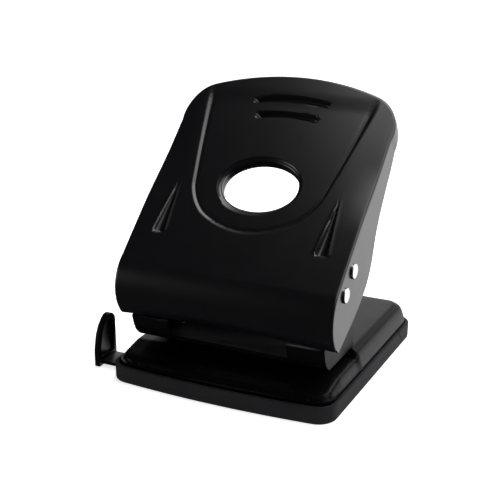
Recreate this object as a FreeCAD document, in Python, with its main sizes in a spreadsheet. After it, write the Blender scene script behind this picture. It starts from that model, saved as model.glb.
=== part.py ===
"""Two-hole lever punch: parametric document of its separate pieces.

Frame: X to the right, Y to the back, Z up, origin at the centre of the chip
tray's underside.  Millimetres.  The handle is drawn in its own frame, where
its broad face is flat: x across, y up the face, z out of the face.
"""
import FreeCAD, Part
import math
import os

import Sketcher

Vector = FreeCAD.Vector

# name, value, what it is
DIMENSIONS = [
    ("tray_half_width", 60.4, "chip tray, half of its width"),
    ("tray_front", 64.8, "chip tray, front edge from the origin"),
    ("tray_back", 64.0, "chip tray, back edge from the origin"),
    ("tray_height", 9.0, "chip tray, rim height"),
    ("tray_wall", 1.8, "chip tray, wall thickness"),
    ("tray_floor", 1.2, "chip tray, floor thickness"),
    ("corner_radius", 10.0, "plan corner radius of tray and base"),
    ("base_half_width", 58.6, "steel base, half of its width"),
    ("base_front", 62.0, "steel base, front edge"),
    ("base_back", 62.3, "steel base, back edge"),
    ("base_foot", 9.4, "steel base, lower edge above the table"),
    ("base_sheet", 1.6, "steel base, sheet thickness"),
    ("die_level", 15.6, "paper platform height"),
    ("deck_level", 20.2, "raised deck behind the paper stop"),
    ("paper_stop", 14.0, "paper stop in front of the origin"),
    ("punch_line", 26.0, "punch axes in front of the origin"),
    ("punch_spacing", 80.0, "distance between the two punch axes"),
    ("pin_radius", 3.0, "punch pin radius"),
    ("pin_tip", 21.0, "punch pin tip height at rest"),
    ("pin_top", 63.0, "punch pin top at rest"),
    ("fit_gap", 0.06, "radial clearance of a running fit"),
    ("die_radius", 6.0, "die bush radius"),
    ("die_flange", 8.0, "die bush flange radius"),
    ("die_depth", 3.8, "die bush height"),
    ("frame_half_width", 52.4, "punch frame, half of its width"),
    ("frame_sheet", 2.0, "punch frame, sheet thickness"),
    ("frame_window", 32.5, "half of the opening between the front towers"),
    ("foot_half_width", 38.0, "punch frame foot on the deck, half width"),
    ("guide_level", 45.8, "underside of the upper pin guide"),
    ("pivot_y", -41.9, "handle pivot axis, y"),
    ("pivot_z", 58.8, "handle pivot axis, z"),
    ("drive_y", -31.7, "drive shaft axis, y"),
    ("drive_z", 67.5, "drive shaft axis, z"),
    ("shaft_radius", 3.0, "pivot and drive shaft radius"),
    ("head_radius", 4.0, "riveted shaft head radius"),
    ("head_height", 2.0, "riveted shaft head height"),
    ("ear_radius", 6.0, "frame ear around the pivot"),
    ("frame_back", 11.0, "punch frame, rear face of its rear wall"),
    ("foot_back", 6.0, "punch frame foot, rear edge behind the origin"),
    ("window_depth", 10.0, "depth of the cut between the front towers"),
    ("rivet_radius", 2.0, "frame rivet, shank radius"),
    ("rivet_line", 2.5, "row of frame rivets in front of the origin"),
    ("rivet_inner", 11.0, "inner frame rivets from the middle"),
    ("rivet_outer", 31.0, "outer frame rivets from the middle"),
    ("rivet_head_radius", 3.5, "frame rivet, domed head radius"),
    ("rivet_head_height", 1.6, "frame rivet, domed head height"),
    ("rivet_closing_radius", 3.2, "frame rivet, closing head radius"),
    ("rivet_closing_height", 1.2, "frame rivet, closing head height"),
    ("guide_width", 12.0, "upper pin guide, width front to back"),
    ("guide_sheet", 2.0, "upper pin guide, sheet thickness"),
    ("guide_drop", 10.0, "upper pin guide, depth of its end flanges"),
    ("yoke_width", 9.0, "yoke, width along the shaft"),
    ("yoke_height", 14.0, "yoke, height"),
    ("yoke_seat", 4.0, "depth of the pin's seat in the yoke"),
    ("slot_play", 0.42, "clearance of the drive shaft in the yoke's slot"),
    ("slot_rise", 4.2, "length of the yoke's slot beside the shaft"),
    ("collar_radius", 5.7, "spring collar radius"),
    ("collar_height", 1.6, "spring collar height"),
    ("spacer_radius", 4.2, "shaft spacer tube radius"),
    ("pivot_spacer_start", 52.7, "inner end of a pivot spacer, from the middle"),
    ("drive_spacer_start", 45.2, "inner end of a drive spacer, from the middle"),
    ("handle_half_width", 58.5, "handle, half of its width"),
    ("handle_sheet", 1.6, "handle, sheet thickness"),
    ("handle_slope", 42.17, "handle face slope in degrees"),
    ("notch_y", -51.7, "line where nose meets face, y"),
    ("notch_z", 61.5, "line where nose meets face, z"),
    ("panel_recess", 1.2, "depth of the pressed centre panel"),
    ("hole_half_width", 21.0, "oval hand opening, half width"),
    ("hole_half_height", 15.0, "oval hand opening, half height"),
    ("hole_centre", 54.0, "oval hand opening, centre up the face"),
    ("collar_depth", 5.0, "depth of the collar round the hand opening"),
    ("spring_wire", 1.2, "return spring wire diameter"),
    ("spring_radius", 4.7, "return spring mean radius"),
    ("spring_turns", 6.0, "return spring turns"),
    ("arm_bottom", 1.5, "paper guide arm underside"),
    ("arm_height", 1.8, "paper guide arm thickness"),
    ("arm_front", 50.0, "paper guide arm, front edge"),
    ("arm_width", 13.5, "paper guide arm, width"),
    ("arm_end", 45.0, "paper guide arm, inner end"),
    ("blade_inner", 72.5, "paper guide blade, inner face"),
    ("blade_thickness", 3.0, "paper guide blade, rim thickness"),
    ("slide_gap", 0.35, "clearance round the sliding arm"),
]

THROUGH = 300.0


def make_sheet(doc):
    """Put the driving dimensions in a spreadsheet and return them by name."""
    sheet = doc.addObject("Spreadsheet::Sheet", "Sizes")
    for row, (name, value, note) in enumerate(DIMENSIONS, start=1):
        sheet.set(f"A{row}", str(value))
        sheet.set(f"B{row}", note)
        sheet.setAlias(f"A{row}", name)
    doc.recompute()
    return {name: float(sheet.get(name)) for name, value, note in DIMENSIONS}


def new_body(doc, label):
    body = doc.addObject("PartDesign::Body", label)
    body.Label = label
    return body


def new_sketch(body, role, shift=(0.0, 0.0, 0.0)):
    """Attach a sketch to one of the body's own origin planes."""
    plane = [item for item in body.Origin.OriginFeatures if item.Role == role][0]
    sketch = body.newObject("Sketcher::SketchObject", f"{body.Label}_outline")
    sketch.AttachmentSupport = [(plane, "")]
    sketch.MapMode = "FlatFace"
    sketch.AttachmentOffset = FreeCAD.Placement(Vector(*shift), FreeCAD.Rotation())
    return sketch


def trace(sketch, start, steps):
    """Draw a closed outline: a step is an end point, or a mid and an end point."""
    here = Vector(*start, 0)
    for step in steps:
        if isinstance(step[0], tuple):
            middle = Vector(*step[0], 0)
            end = Vector(*step[1], 0)
            sketch.addGeometry(Part.Arc(here, middle, end), False)
        else:
            end = Vector(*step, 0)
            sketch.addGeometry(Part.LineSegment(here, end), False)
        here = end


def trace_rectangle(sketch, left, bottom, right, top):
    trace(sketch, (left, bottom), [(right, bottom), (right, top), (left, top), (left, bottom)])


def trace_circle(sketch, x, y, radius_name, extra=""):
    """Draw a circle whose radius is bound to the spreadsheet."""
    circle = Part.Circle(Vector(x, y, 0), Vector(0, 0, 1), 1.0)
    index = sketch.addGeometry(circle, False)
    sketch.addConstraint(Sketcher.Constraint("DistanceX", -1, 1, index, 3, x))
    sketch.addConstraint(Sketcher.Constraint("DistanceY", -1, 1, index, 3, y))
    rule = sketch.addConstraint(Sketcher.Constraint("Radius", index, 1.0))
    sketch.setExpression(f"Constraints[{rule}]", f"Sizes.{radius_name}{extra}")


def pad(body, sketch, length, symmetric=False, downwards=False):
    feature = body.newObject("PartDesign::Pad", f"{body.Label}_pad")
    feature.Profile = sketch
    feature.setExpression("Length", length)
    feature.SideType = "Symmetric" if symmetric else "One side"
    feature.Reversed = downwards
    return feature


def pocket(body, sketch, length=None, symmetric=False, upwards=False):
    """Cut a sketch out of the body and make sure that it did cut."""
    before = settled(body).Volume
    feature = body.newObject("PartDesign::Pocket", f"{body.Label}_pocket")
    feature.Profile = sketch
    feature.SideType = "Symmetric" if symmetric else "One side"
    feature.Reversed = upwards
    if length is None:
        feature.Length = THROUGH
    else:
        feature.setExpression("Length", length)
    if settled(body).Volume > before - 0.01:
        raise RuntimeError(f"a pocket in {body.Label} cuts nothing")
    return feature


def settled(body):
    body.Document.recompute()
    return body.Shape


def fillet(body, radius, wanted):
    """Round the edges of the body's tip that the test picks."""
    shape = settled(body)
    names = [f"Edge{i}" for i, edge in enumerate(shape.Edges, start=1) if wanted(edge)]
    solid = body.Tip
    feature = body.newObject("PartDesign::Fillet", f"{body.Label}_fillet")
    feature.Base = (solid, names)
    feature.Radius = radius
    return feature


def rounded_plan(half_width, front, back, radius, bow):
    """Plan outline with round corners and a slightly bowed front edge."""
    cut = radius * (1 - math.sqrt(0.5))
    start = (-half_width, -front + bow + radius)
    steps = [
        ((-half_width + cut, -front + bow + cut), (-half_width + radius, -front + bow)),
        ((0.0, -front), (half_width - radius, -front + bow)),
        ((half_width - cut, -front + bow + cut), (half_width, -front + bow + radius)),
        (half_width, back - radius),
        ((half_width - cut, back - cut), (half_width - radius, back)),
        (-half_width + radius, back),
        ((-half_width + cut, back - cut), (-half_width, back - radius)),
        start,
    ]
    return start, steps


def make_tray(doc, size):
    """Chip tray: a shallow moulded pan with a channel for the paper guide."""
    body = new_body(doc, "tray")
    bow = 2.3
    half = size["tray_half_width"]
    wall = size["tray_wall"]
    outer = new_sketch(body, "XY_Plane")
    trace(outer, *rounded_plan(half, size["tray_front"], size["tray_back"],
                               size["corner_radius"], bow))
    pad(body, outer, "Sizes.tray_height")
    fillet(body, 1.2, lambda edge: edge.BoundBox.ZMax < 0.01)
    inner = new_sketch(body, "XY_Plane", (0, 0, size["tray_floor"]))
    trace(inner, *rounded_plan(half - wall, size["tray_front"] - wall,
                               size["tray_back"] - wall, size["corner_radius"] - wall, bow))
    pocket(body, inner, upwards=True)

    # channel: two ribs on the floor beside the guide's arm
    rib = 1.2
    gap = size["slide_gap"]
    low = -size["arm_front"] - gap
    high = -size["arm_front"] + size["arm_width"] + gap
    ribs = new_sketch(body, "XY_Plane", (0, 0, size["tray_floor"] - 0.2))
    for edge in (low - rib, high):
        trace_rectangle(ribs, -half + 0.6, edge, half - 12.0, edge + rib)
    pad(body, ribs, "Sizes.arm_bottom + Sizes.arm_height + 0.4")

    # slot in the left wall where the arm leaves
    slot = new_sketch(body, "YZ_Plane", (0, 0, -half - 1.0))
    bottom = size["arm_bottom"] - gap
    top = size["arm_bottom"] + size["arm_height"] + gap
    trace_rectangle(slot, low, bottom, high, top)
    pocket(body, slot, "Sizes.tray_wall + 1.5", upwards=True)

    # slanted saw cuts that free the latch in the right wall
    for y_top in (38.0, 52.0):
        cut = new_sketch(body, "YZ_Plane", (0, 0, half - wall - 0.5))
        lean = 6.0
        trace(cut, (y_top, 9.5), [(y_top + 0.7, 9.5), (y_top + lean + 0.7, 2.8),
                                  (y_top + lean, 2.8), (y_top, 9.5)])
        pocket(body, cut, "Sizes.tray_wall + 1.5", upwards=True)
    return body


def base_side(size, drop, back):
    """Side profile above the base's surface, lowered by the sheet thickness."""
    front = -size["base_front"]
    die = size["die_level"] - drop
    deck = size["deck_level"] - drop
    stop = -size["paper_stop"] + drop
    start = (front - 20.0, 11.2 - drop)
    steps = [
        (front + 1.5, 11.2 - drop),
        ((front + 3.2, 12.2 - drop), (front + 6.0, 12.8 - drop)),
        (-40.0, die),
        (stop, die),
        (stop, deck),
        (back + 20.0, deck),
        (back + 20.0, deck + 30.0),
        (front - 20.0, deck + 30.0),
        start,
    ]
    return start, steps


def make_base_blank(doc, size, label, shrink):
    """Solid block under the base's outer skin, or under its inner skin."""
    body = new_body(doc, label)
    plan = new_sketch(body, "XY_Plane", (0, 0, size["base_foot"] - shrink))
    back = size["base_back"] - shrink
    trace(plan, *rounded_plan(size["base_half_width"] - shrink, size["base_front"] - shrink,
                              back, size["corner_radius"] - shrink, 2.3))
    pad(body, plan, "Sizes.deck_level")
    side = new_sketch(body, "YZ_Plane")
    trace(side, *base_side(size, shrink, back))
    pocket(body, side, symmetric=True)
    deck = size["deck_level"] - shrink

    def deck_rim(edge):
        box = edge.BoundBox
        level = abs(box.ZMin - deck) < 0.01 and abs(box.ZMax - deck) < 0.01
        return level and box.YMax > -size["paper_stop"] + shrink + 1.0
    fillet(body, 4.0 - shrink, deck_rim)
    settled(body)
    return body


def make_base_plate(doc, size):
    """Pressed steel base: hollow below, low paper platform in front, raised deck behind."""
    blank = make_base_blank(doc, size, "base_blank", 0.0)
    core = make_base_blank(doc, size, "base_core", size["base_sheet"])
    holes = []
    for side in (-1, 1):
        hole = doc.addObject("Part::Cylinder", "die_hole")
        hole.setExpression("Radius", "Sizes.die_radius")
        hole.Height = 20.0
        hole.setExpression("Placement.Base.x", f"{side} * Sizes.punch_spacing / 2")
        hole.setExpression("Placement.Base.y", "-Sizes.punch_line")
        hole.setExpression("Placement.Base.z", "Sizes.base_foot")
        holes.append(hole)
    holes += rivet_shanks(doc, size, "Sizes.deck_level - 5", 10.0, "rivet_hole")
    plate = doc.addObject("Part::Cut", "base_shell")
    plate.Base = blank
    plate.Tool = core
    tools = doc.addObject("Part::MultiFuse", "base_holes")
    tools.Shapes = holes
    drilled = doc.addObject("Part::Cut", "base_plate")
    drilled.Label = "base_plate"
    drilled.Base = plate
    drilled.Tool = tools
    return drilled


def rivet_places(size):
    inner = size["rivet_inner"]
    outer = size["rivet_outer"]
    return [(x, -size["rivet_line"]) for x in (-outer, -inner, inner, outer)]


def rivet_shanks(doc, size, level, height, name):
    """One cylinder at each rivet that holds the frame on the deck."""
    shanks = []
    for x, y in rivet_places(size):
        shank = doc.addObject("Part::Cylinder", name)
        shank.setExpression("Radius", "Sizes.rivet_radius")
        shank.Height = height
        shank.Placement.Base = Vector(x, y, 0)
        shank.setExpression("Placement.Base.z", level)
        shanks.append(shank)
    return shanks


def make_bracket_rivets(doc, size):
    """Four rivets: shank, domed head above the foot and closing head below the deck."""
    shapes = []
    foot_top = size["deck_level"] + size["frame_sheet"]
    under = size["deck_level"] - size["base_sheet"]
    head_height = size["rivet_head_height"]
    closing_height = size["rivet_closing_height"]
    for x, y in rivet_places(size):
        shank = Part.makeCylinder(size["rivet_radius"], foot_top - under, Vector(x, y, under))
        head = Part.makeCylinder(size["rivet_head_radius"], head_height, Vector(x, y, foot_top))
        rim = [edge for edge in head.Edges if edge.BoundBox.ZMin > foot_top + head_height / 2]
        head = head.makeFillet(head_height * 0.75, rim)
        closing = Part.makeCylinder(size["rivet_closing_radius"], closing_height,
                                    Vector(x, y, under - closing_height))
        shapes.append(shank.fuse([head, closing]).removeSplitter())
    return make_feature(doc, "bracket_rivets", Part.makeCompound(shapes))


def make_feature(doc, label, shape):
    feature = doc.addObject("Part::Feature", label)
    feature.Label = label
    feature.Shape = shape
    return feature


def make_die(doc, size, label, x):
    """Flanged die bush pressed into the platform from below."""
    body = new_body(doc, label)
    y = -size["punch_line"]
    top = size["die_level"]
    shank = new_sketch(body, "XY_Plane", (0, 0, top))
    trace_circle(shank, x, y, "die_radius")
    pad(body, shank, "Sizes.die_depth", downwards=True)
    flange = new_sketch(body, "XY_Plane", (0, 0, top - size["base_sheet"]))
    trace_circle(flange, x, y, "die_flange")
    pad(body, flange, "Sizes.die_depth - Sizes.base_sheet", downwards=True)
    hole = new_sketch(body, "XY_Plane", (0, 0, top + 1.0))
    trace_circle(hole, x, y, "pin_radius", " + Sizes.fit_gap")
    pocket(body, hole)
    return body


def make_bracket(doc, size):
    """Punch frame: folded channel with two front towers, cheeks, a rear wall and a foot."""
    body = new_body(doc, "bracket")
    low = size["deck_level"]
    sheet = size["frame_sheet"]
    ear = size["ear_radius"]
    back = size["frame_back"]
    pivot = (size["pivot_y"], size["pivot_z"])
    outer = new_sketch(body, "YZ_Plane")
    trace(outer, (-43.5, low), [
        ((-47.4, 23.9), (-49.4, 28.0)),
        (-50.8, 32.6),
        (-49.0, 34.2),
        (pivot[0] - ear, pivot[1]),
        ((pivot[0], pivot[1] + ear), (pivot[0] + ear, pivot[1])),
        (-35.0, 53.0),
        (-20.0, 48.5),
        (-back, 36.0),
        (-back, low + sheet),
        (size["foot_back"], low + sheet),
        (size["foot_back"], low),
        (-43.5, low),
    ])
    pad(body, outer, "2 * Sizes.frame_half_width", symmetric=True)
    inner = new_sketch(body, "YZ_Plane")
    trace(inner, (-42.8, low + sheet), [
        ((-45.8, 25.3), (-47.5, 28.8)),
        (-48.6, 32.4),
        (-60.0, 32.4),
        (-60.0, 80.0),
        (-back - sheet, 80.0),
        (-back - sheet, low + sheet),
        (-42.8, low + sheet),
    ])
    pocket(body, inner, "2 * (Sizes.frame_half_width - Sizes.frame_sheet)", symmetric=True)

    # opening between the two front towers
    window = new_sketch(body, "XZ_Plane", (0, 0, 42.8))
    half = size["frame_window"]
    trace_rectangle(window, -half, low - 1.0, half, 40.0)
    pocket(body, window, "Sizes.window_depth", upwards=True)

    # foot narrower than the cheeks
    foot = size["foot_half_width"]
    wide = size["frame_half_width"] + 2.0
    sides = new_sketch(body, "XY_Plane", (0, 0, low - 1.0))
    for left, right in ((-wide, -foot), (foot, wide)):
        trace_rectangle(sides, left, -back, right, size["foot_back"] + 4.0)
    pocket(body, sides, "2 * Sizes.frame_sheet", upwards=True)

    # lower pin guides, rivet holes and pivot holes
    guides = new_sketch(body, "XY_Plane", (0, 0, low - 1.0))
    for side in (-1, 1):
        trace_circle(guides, side * size["punch_spacing"] / 2, -size["punch_line"],
                     "pin_radius", " + Sizes.fit_gap")
    for x, y in rivet_places(size):
        trace_circle(guides, x, y, "rivet_radius")
    pocket(body, guides, "2 * Sizes.frame_sheet", upwards=True)
    pivots = new_sketch(body, "YZ_Plane")
    trace_circle(pivots, *pivot, "shaft_radius", " + Sizes.fit_gap")
    pocket(body, pivots, symmetric=True)
    return body


def make_upper_guide(doc, size):
    """Cross plate between the cheeks that guides the upper part of both pins."""
    body = new_body(doc, "upper_guide")
    level = size["guide_level"]
    sheet = size["guide_sheet"]
    drop = size["guide_drop"]
    reach = size["frame_half_width"] - size["frame_sheet"]
    start = size["punch_line"] - size["guide_width"] / 2
    outline = new_sketch(body, "XZ_Plane", (0, 0, start))
    trace(outline, (-reach, level - drop), [
        (-reach + sheet, level - drop),
        (-reach + sheet, level),
        (reach - sheet, level),
        (reach - sheet, level - drop),
        (reach, level - drop),
        (reach, level + sheet),
        (-reach, level + sheet),
        (-reach, level - drop),
    ])
    pad(body, outline, "Sizes.guide_width")
    holes = new_sketch(body, "XY_Plane", (0, 0, level - 1.0))
    for side in (-1, 1):
        trace_circle(holes, side * size["punch_spacing"] / 2, -size["punch_line"],
                     "pin_radius", " + Sizes.fit_gap")
    pocket(body, holes, "2 * Sizes.guide_sheet", upwards=True)
    return body


def make_punch_pin(doc, size, label, x):
    """Round punch pin with a vee-ground cutting end."""
    body = new_body(doc, label)
    tip = size["pin_tip"]
    y = -size["punch_line"]
    shank = new_sketch(body, "XY_Plane", (0, 0, tip))
    trace_circle(shank, x, y, "pin_radius")
    pad(body, shank, "Sizes.pin_top - Sizes.pin_tip")
    vee = new_sketch(body, "YZ_Plane", (0, 0, x))
    radius = size["pin_radius"] + 1.0
    trace(vee, (y - radius, tip - 1.5), [(y + radius, tip - 1.5), (y, tip + 1.2),
                                         (y - radius, tip - 1.5)])
    pocket(body, vee, symmetric=True)
    return body


def make_yoke(doc, size, label, x):
    """Block on the pin's top, with the slot that the drive shaft lifts and presses."""
    body = new_body(doc, label)
    bottom = size["pin_top"] - size["yoke_seat"]
    top = bottom + size["yoke_height"]
    y = -size["punch_line"]
    block = new_sketch(body, "YZ_Plane", (0, 0, x))
    trace(block, (y + 4.5, bottom), [
        (y + 4.5, top - 2.0),
        ((y + 3.9, top - 0.6), (y + 2.5, top)),
        (y - 9.0, top),
        ((y - 10.4, top - 0.6), (y - 11.0, top - 2.0)),
        (y - 11.0, bottom + 2.8),
        (y - 4.5, bottom),
        (y + 4.5, bottom),
    ])
    pad(body, block, "Sizes.yoke_width", symmetric=True)
    socket = new_sketch(body, "XY_Plane", (0, 0, bottom - 1.0))
    trace_circle(socket, x, y, "pin_radius")
    pocket(body, socket, "Sizes.yoke_seat + 1", upwards=True)
    slot = new_sketch(body, "YZ_Plane", (0, 0, x))
    reach = size["shaft_radius"] + size["slot_play"]
    first = size["drive_y"] - 0.5
    last = first + size["slot_rise"]
    level = size["drive_z"]
    trace(slot, (first, level - reach), [
        (last, level - reach),
        ((last + reach, level), (last, level + reach)),
        (first, level + reach),
        ((first - reach, level), (first, level - reach)),
    ])
    pocket(body, slot, symmetric=True)
    return body


def make_spring(doc, size, label, x):
    """Return spring round the pin, between the frame and the pin's collar."""
    low = size["deck_level"] + size["frame_sheet"]
    high = size["guide_level"] - size["collar_height"]
    wire = size["spring_wire"] / 2
    radius = size["spring_radius"]
    rise = high - low - 2 * wire
    helix = Part.makeHelix(rise / size["spring_turns"], rise, radius)
    circle = Part.Circle(Vector(radius, 0, 0), Vector(0, 1, 0), wire)
    section = Part.Wire([circle.toShape()])
    coil = Part.Wire(helix).makePipeShell([section], True, True)
    coil.translate(Vector(x, -size["punch_line"], low + wire))
    return make_feature(doc, label, coil)


def make_collar(doc, size, label, x):
    """Retaining ring on the pin: carries the spring and stops under the upper guide."""
    body = new_body(doc, label)
    ring = new_sketch(body, "XY_Plane", (0, 0, size["guide_level"] - size["collar_height"]))
    trace_circle(ring, x, -size["punch_line"], "collar_radius")
    trace_circle(ring, x, -size["punch_line"], "pin_radius")
    pad(body, ring, "Sizes.collar_height")
    return body


def handle_side(size, sheet, reach):
    """Side outline of the handle in its own frame, from the nose to the top edge."""
    if sheet:
        return (1.0, -sheet), [
            (119.0, -sheet),
            (119.0, -reach),
            (-25.0, -reach),
            (-25.0, -20.4),
            (-16.9, -20.4),
            ((-11.9, -8.0), (1.0, -sheet)),
        ]
    return (0.0, 0.0), [
        (120.8, 0.0),
        (120.8, -3.6),
        (104.0, -5.0),
        ((98.5, -9.8), (90.0, -12.9)),
        ((62.0, -18.3), (50.0, -21.2)),
        ((43.5, -25.2), (38.5, -28.6)),
        ((28.0, -32.3), (14.0, -31.8)),
        (-17.1, -23.9),
        (-18.7, -20.2),
        ((-13.7, -7.2), (0.0, 0.0)),
    ]


def handle_top(half, shrink, low):
    """Plan outline of the handle's face, with its broad round top corners."""
    half = half - shrink
    top = 121.0 - shrink
    right = [
        (half, 90.0),
        ((56.0 - shrink, 105.3), (46.5 - shrink, 113.9 - shrink)),
    ]
    crown = ((0.0, top), (-46.5 + shrink, 113.9 - shrink))
    left = [
        ((-56.0 + shrink, 105.3), (-half, 90.0)),
        (-half, low),
    ]
    return (-half, low), [(half, low)] + right + [crown] + left


def panel_outline(grow):
    """U-shaped outline of the pressed centre panel, open towards the top edge."""
    right = [
        ((19.0 + grow, 30.2 - grow), (30.1 + grow, 40.3 - grow)),
        ((36.9 + grow, 55.0), (40.4 + grow, 72.0)),
        (46.0 + grow, 107.0),
    ]
    left = [
        (-46.0 - grow, 107.0),
        (-40.4 - grow, 72.0),
        ((-36.9 - grow, 55.0), (-30.1 - grow, 40.3 - grow)),
        ((-19.0 - grow, 30.2 - grow), (0.0, 26.0 - grow)),
    ]
    return (0.0, 26.0 - grow), right + left


def make_handle_blank(doc, size, label, sheet):
    """Solid inside the handle's outer skin, or inside its inner skin."""
    body = new_body(doc, label)
    side = new_sketch(body, "YZ_Plane")
    trace(side, *handle_side(size, sheet, 60.0))
    pad(body, side, f"2 * (Sizes.handle_half_width - {sheet})", symmetric=True)
    plan = new_sketch(body, "XY_Plane", (0, 0, 1.0))
    trace_rectangle(plan, -90.0, -90.0, 90.0, 150.0)
    trace(plan, *handle_top(size["handle_half_width"], sheet, -60.0))
    pocket(body, plan)
    if not sheet:
        half = size["handle_half_width"]

        def outer_rim(edge):
            box = edge.BoundBox
            face_side = box.ZMin > -0.01 and box.YMin > -0.01
            return face_side and (box.XMin > half - 8.0 or box.XMax < -half + 8.0
                                  or box.YMin > 100.0)
        fillet(body, 1.8, outer_rim)
    press = new_sketch(body, "XY_Plane", (0, 0, -sheet))
    trace(press, *panel_outline(0.0))
    pocket(body, press, "Sizes.panel_recess")
    settled(body)
    return body


def ellipse_solid(half_x, half_y, centre, low, high):
    """Upright elliptical cylinder on the handle's face."""
    wide = max(half_x, half_y)
    ellipse = Part.Ellipse(Vector(0, centre, low), wide, min(half_x, half_y))
    face = Part.Face(Part.Wire([ellipse.toShape()]))
    return face.extrude(Vector(0, 0, high - low))


def make_handle(doc, size):
    """Pressed lever: face, nose and side flanges, hand opening with a collar, shaft holes."""
    blank = make_handle_blank(doc, size, "handle_blank", 0.0)
    core = make_handle_blank(doc, size, "handle_core", size["handle_sheet"])
    shell = blank.Shape.cut(core.Shape)
    sheet = size["handle_sheet"]
    wide = size["hole_half_width"]
    tall = size["hole_half_height"]
    centre = size["hole_centre"]
    depth = size["collar_depth"]
    recess = size["panel_recess"]
    collar = ellipse_solid(wide + sheet, tall + sheet, centre, -recess - depth, -recess)
    opening = ellipse_solid(wide, tall, centre, -40.0, 5.0)
    shell = shell.fuse(collar).cut(opening)

    # shaft holes through both side flanges, placed in the handle's own frame
    place = handle_placement(size)
    turn = place.inverse()
    for y, z in ((size["pivot_y"], size["pivot_z"]), (size["drive_y"], size["drive_z"])):
        drill = Part.makeCylinder(size["shaft_radius"], 200.0, Vector(-100, y, z), Vector(1, 0, 0))
        drill.transformShape(turn.toMatrix())
        shell = shell.cut(drill)
    handle = make_feature(doc, "handle", shell.removeSplitter())
    handle.Placement = place
    return handle


def handle_placement(size):
    """Where the handle's own frame stands in the punch's frame at rest."""
    turn = FreeCAD.Rotation(Vector(1, 0, 0), size["handle_slope"])
    return FreeCAD.Placement(Vector(0, size["notch_y"], size["notch_z"]), turn)


def make_shaft(doc, size, label, axis):
    """Shaft riveted into both handle flanges, with a round head outside each."""
    body = new_body(doc, label)
    half = size["handle_half_width"]
    place = (size[f"{axis}_y"], size[f"{axis}_z"])
    rod = new_sketch(body, "YZ_Plane")
    trace_circle(rod, *place, "shaft_radius")
    pad(body, rod, "2 * Sizes.handle_half_width", symmetric=True)
    for side in (-1, 1):
        head = new_sketch(body, "YZ_Plane", (0, 0, side * half))
        trace_circle(head, *place, "head_radius")
        pad(body, head, "Sizes.head_height", downwards=side < 0)
    outer = half + size["head_height"]
    fillet(body, 0.7, lambda edge: abs(abs(edge.BoundBox.Center.x) - outer) < 0.01)
    return body


def make_spacer(doc, size, label, axis, side):
    """Tube on a shaft that keeps the handle centred."""
    body = new_body(doc, label)
    place = (size[f"{axis}_y"], size[f"{axis}_z"])
    near = size[f"{axis}_spacer_start"]
    ring = new_sketch(body, "YZ_Plane", (0, 0, side * near))
    trace_circle(ring, *place, "spacer_radius")
    trace_circle(ring, *place, "shaft_radius")
    pad(body, ring, f"Sizes.handle_half_width - Sizes.handle_sheet - Sizes.{axis}_spacer_start",
        downwards=side < 0)
    return body


def make_paper_guide(doc, size):
    """Paper guide: flat arm in the tray's channel with an upright blade at its end."""
    body = new_body(doc, "paper_guide")
    front = -size["arm_front"]
    back = front + size["arm_width"]
    bottom = size["arm_bottom"]
    outer_x = -size["blade_inner"] - size["blade_thickness"]
    arm = new_sketch(body, "XY_Plane", (0, 0, bottom))
    trace(arm, (outer_x, front), [
        (size["arm_end"] - 3.0, front),
        (size["arm_end"], front + 3.0),
        (size["arm_end"], back - 3.0),
        (size["arm_end"] - 3.0, back),
        (outer_x, back),
        (outer_x, front),
    ])
    pad(body, arm, "Sizes.arm_height")
    blade = new_sketch(body, "YZ_Plane", (0, 0, outer_x))
    trace(blade, (-52.0, 0.4), [
        (-35.2, 0.4),
        (-35.4, 19.8),
        ((-37.4, 25.4), (-42.3, 26.2)),
        ((-47.4, 21.9), (-50.7, 14.9)),
        ((-51.8, 9.9), (-52.0, 4.8)),
        (-52.0, 0.4),
    ])
    pad(body, blade, "Sizes.blade_thickness")
    web = new_sketch(body, "YZ_Plane", (0, 0, outer_x + size["blade_thickness"]))
    trace(web, (-49.6, 5.0), [
        (-37.4, 5.0),
        (-37.5, 19.2),
        ((-38.8, 22.8), (-42.0, 23.4)),
        ((-45.8, 20.0), (-48.5, 14.2)),
        ((-49.4, 9.8), (-49.6, 5.0)),
    ])
    pocket(body, web, "Sizes.blade_thickness / 2")
    notches = new_sketch(body, "XY_Plane", (0, 0, bottom + size["arm_height"] / 2))
    for x in (-40.0, -10.0, 20.0):
        trace_rectangle(notches, x, front + 3.0, x + 1.2, back - 3.0)
    pocket(body, notches, "Sizes.arm_height", upwards=True)
    return body


def make_all(doc, size):
    """Build every sub-part and return the objects whose labels name the files."""
    parts = [make_tray(doc, size), make_base_plate(doc, size), make_bracket(doc, size)]
    parts += [make_bracket_rivets(doc, size), make_upper_guide(doc, size)]
    for word, side in (("left", -1), ("right", 1)):
        x = side * size["punch_spacing"] / 2
        parts.append(make_die(doc, size, f"die_{word}", x))
        parts.append(make_punch_pin(doc, size, f"punch_pin_{word}", x))
        parts.append(make_yoke(doc, size, f"yoke_{word}", x))
        parts.append(make_spring(doc, size, f"spring_{word}", x))
        parts.append(make_collar(doc, size, f"collar_{word}", x))
        for axis in ("pivot", "drive"):
            parts.append(make_spacer(doc, size, f"{axis}_spacer_{word}", axis, side))
    parts.append(make_handle(doc, size))
    parts += [make_shaft(doc, size, "pivot_shaft", "pivot")]
    parts += [make_shaft(doc, size, "drive_shaft", "drive")]
    parts.append(make_paper_guide(doc, size))
    return parts


def check(doc, parts):
    """Stop if any object failed or any sub-part has a bad shape."""
    doc.recompute()
    for item in doc.Objects:
        if "Invalid" in item.State or "Error" in item.State:
            raise RuntimeError(f"{item.Label} did not compute: {item.State}")
    for part in parts:
        if part.Shape.isNull() or not part.Shape.isValid():
            raise RuntimeError(f"{part.Label} has a bad shape")


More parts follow.
